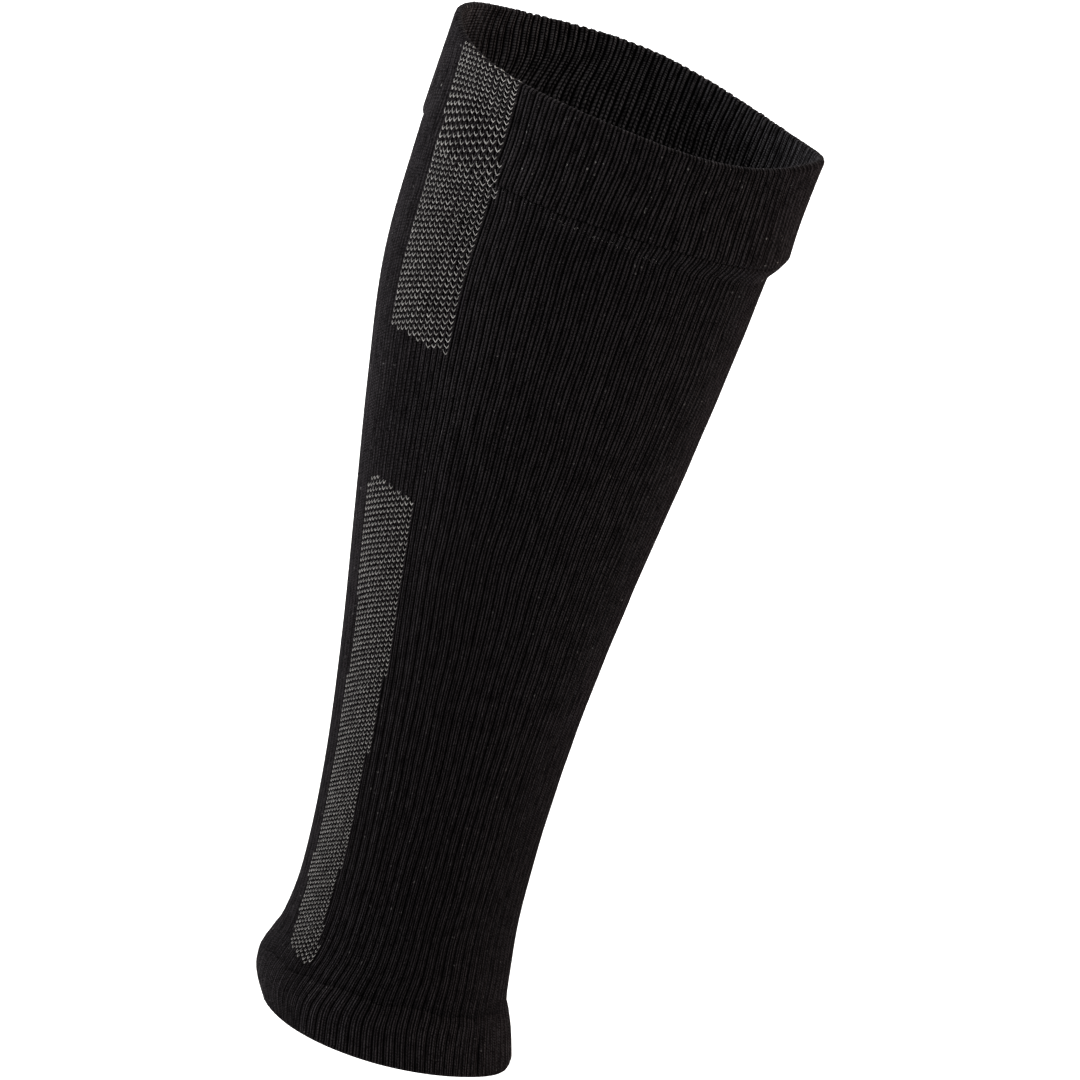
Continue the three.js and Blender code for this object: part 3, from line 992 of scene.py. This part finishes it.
# %% [markdown]
# ## Dressing the frame
# Each piece now takes its finish, rides on the sleeve's one body and stands for the solid that it
# replaces. The three rings of knit are cloth, and the flat size of each is worked out and printed: its flat
# width is the way around the leg, and its flat length the way up.

# %% Pieces, finishes and cloth
DRESSING = [
    (calf_knit, body_black, "knit_black", "calf_tube"),
    (top_knit, cuff_black, "cuff_black", "top_cuff"),
    (ankle_knit, band_black, "cuff_black", "ankle_cuff"),
    (cuff_stitches, stripe_grey, "light_yarn", "cuff_stripe"),
    (upper_stitches, stripe_grey, "light_yarn", "upper_stripe"),
    (lower_stitches, stripe_grey, "light_yarn", "lower_stripe"),
]
for piece, finish, slot_name, node in DRESSING:
    piece.data.materials.append(finish)
    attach(piece, "root")
    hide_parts(node)


def way_round(height, out):
    """The length of a course around the leg, in metres."""
    turn = np.linspace(0, 2 * np.pi, 721)
    points = on_leg(turn, height, out)
    return np.linalg.norm(np.diff(points, axis=0), axis=1).sum() * MM


def flat_size(low, high, out):
    """Mean way around between two heights, and the way up."""
    rounds = [way_round(height, out) for height in np.linspace(low, high, 12)]
    return float(np.mean(rounds)), (high - low) * MM


CLOTH = [  # piece, its lower and upper course, and how far out the middle of its cloth lies
    (calf_knit, BAND_HEIGHT, HEM, -WALL / 2),
    (top_knit, HEM, LENGTH, 0.0),
    (ankle_knit, 0.0, BAND_HEIGHT, -WALL / 2),
]
for piece, low, high, out in CLOTH:
    flat = flat_size(low, high, out)
    print(f"{piece.name}: flat {flat[0]:.3f} by {flat[1]:.3f} m")

# %% [markdown]
# ## Studio
# The sleeve is shown as it is worn, with no leg in it, before a white backdrop: so the floor is a plain
# pale sheet well below it. A pale world gives even soft light. A large cool lamp from the left brings out
# the shin side, and a weaker warm one the calf side. Two more from above light the cuff and the front, and
# the largest hangs behind and shines straight down, so that the floor behind the sleeve stays white. All are
# area lamps, because a point of light would throw a hard shadow into every groove.

# %% The floor
FLOOR_BELOW = 0.40
FLOOR_SIZE = 14.0


def plain_finish(name, colour, roughness):
    """One even colour all over."""
    return new_finish(name, {"Base Color": colour, "Roughness": roughness})[0]


corner = FLOOR_SIZE / 2 / MM
level = -FLOOR_BELOW / MM
floor_points = np.array([
    (-corner, -corner, level),
    (corner, -corner, level),
    (corner, corner, level),
    (-corner, corner, level),
])
floor = mesh_from("floor", floor_points, [[0, 1, 2, 3]])
floor.data.materials.append(plain_finish("floor_white", (0.93, 0.93, 0.93, 1), 0.9))
print(f"floor {FLOOR_SIZE:.0f} m wide, {FLOOR_BELOW:.2f} m below the ankle rim")

# %% World and lamps
WORLD_LIGHT = 0.28
world = bpy.data.worlds.new("studio")
world.use_nodes = True
background = world.node_tree.nodes["Background"]
background.inputs["Color"].default_value = (1.0, 1.0, 1.0, 1)
background.inputs["Strength"].default_value = WORLD_LIGHT
bpy.context.scene.world = world
bpy.context.scene.view_settings.view_transform = "Standard"

AIM = Vector((0.0085, 0.0, 0.1825))  # the middle of the sleeve and of the picture


def lamp(name, place, width, power, colour):
    """A square area lamp at a place, turned to the sleeve's middle."""
    light = bpy.data.lights.new(name, "AREA")
    light.size = width
    light.energy = power
    light.color = colour
    made = bpy.data.objects.new(name, light)
    bpy.context.scene.collection.objects.link(made)
    made.location = place
    made.rotation_euler = (AIM - made.location).to_track_quat("-Z", "Y").to_euler()
    return made


lamp("left_lamp", place=(-3.0, 0.4, 1.0), width=1.6, power=165, colour=(0.95, 0.97, 1.0))
lamp("right_lamp", place=(2.8, 0.8, 0.6), width=1.6, power=29, colour=(1.0, 0.64, 0.47))
lamp("top_lamp", place=(1.4, -0.5, 2.8), width=2.0, power=45, colour=(1.0, 0.91, 0.85))
lamp("front_lamp", place=(0.2, -1.9, 2.9), width=1.6, power=18, colour=(1.0, 0.98, 0.96))
back = lamp("back_lamp", place=(0.0, 3.2, 2.4), width=3.0, power=190, colour=(1.0, 1.0, 1.0))
back.rotation_euler = (0, 0, 0)  # straight down
print("lamps:", len(bpy.data.lights))

# %% [markdown]
# ## Camera
# The photograph looks a little down on the outer side of the leg, from far away, and is turned so that
# the leg leans.

# %% The camera
ELEVATION = math.radians(17.0)
ROLL = math.radians(15.4)
DISTANCE = 3.0
LENS = 295.86  # mm, on a sensor of 36 mm
SENSOR = 36.0
FARTHEST = 100.0  # how far it sees, in metres

ahead = Vector((0, math.cos(ELEVATION), -math.sin(ELEVATION)))
sideways = Vector((1, 0, 0))
upright = Vector((0, math.sin(ELEVATION), math.cos(ELEVATION)))
right = math.cos(ROLL) * sideways + math.sin(ROLL) * upright
above = math.cos(ROLL) * upright - math.sin(ROLL) * sideways
camera_data = bpy.data.cameras.new("camera")
camera_data.lens = LENS
camera_data.sensor_width = SENSOR
camera_data.clip_end = FARTHEST
camera = bpy.data.objects.new("camera", camera_data)
bpy.context.scene.collection.objects.link(camera)
turned = Matrix((right, above, -ahead)).transposed().to_4x4()
turned.translation = AIM - DISTANCE * ahead
camera.matrix_world = turned
bpy.context.scene.camera = camera
print("camera at", [round(value, 2) for value in turned.translation])
